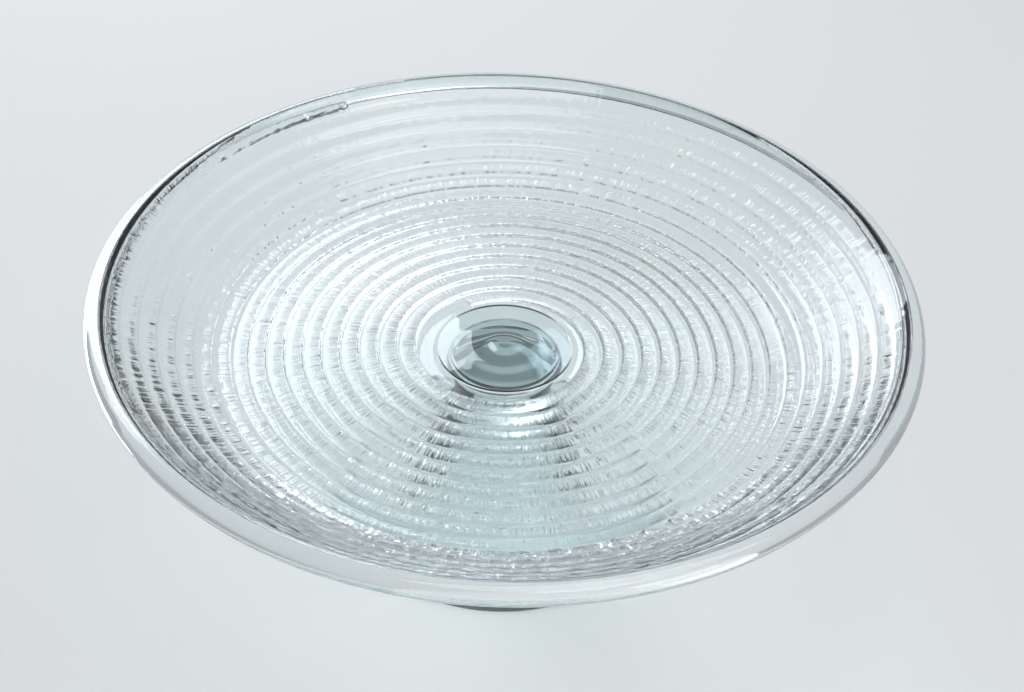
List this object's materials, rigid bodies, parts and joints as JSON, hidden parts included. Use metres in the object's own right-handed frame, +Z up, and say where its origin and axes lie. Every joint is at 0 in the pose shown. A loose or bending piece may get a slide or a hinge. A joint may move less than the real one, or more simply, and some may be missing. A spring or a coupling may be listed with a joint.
{
  "type": "footed glass dish",
  "caption": "Shallow round clear glass dish with a spiral of low terraces on its inner face, a rounded rim and a hollow flared foot.",
  "frame": {"origin": "middle of the resting plane under the foot", "axes": "+Z up through the middle of the dish; the spiral's last turn runs out 120 degrees counter-clockwise from +X seen from above"},
  "size_m": [0.3, 0.3, 0.1082],
  "materials": {
    "bowl_glass": "clear, chill-wrinkled",
    "rim_glass": "clear, fire-polished",
    "disc_glass": "clear, fire-polished",
    "foot_glass": "clear, smooth"
  },
  "bodies": {
    "root": {"bowl": "bowl_glass", "rim_bead": "rim_glass", "centre_disc": "disc_glass", "joining_wafer": "foot_glass", "foot": "foot_glass"}
  },
  "joints": []
}
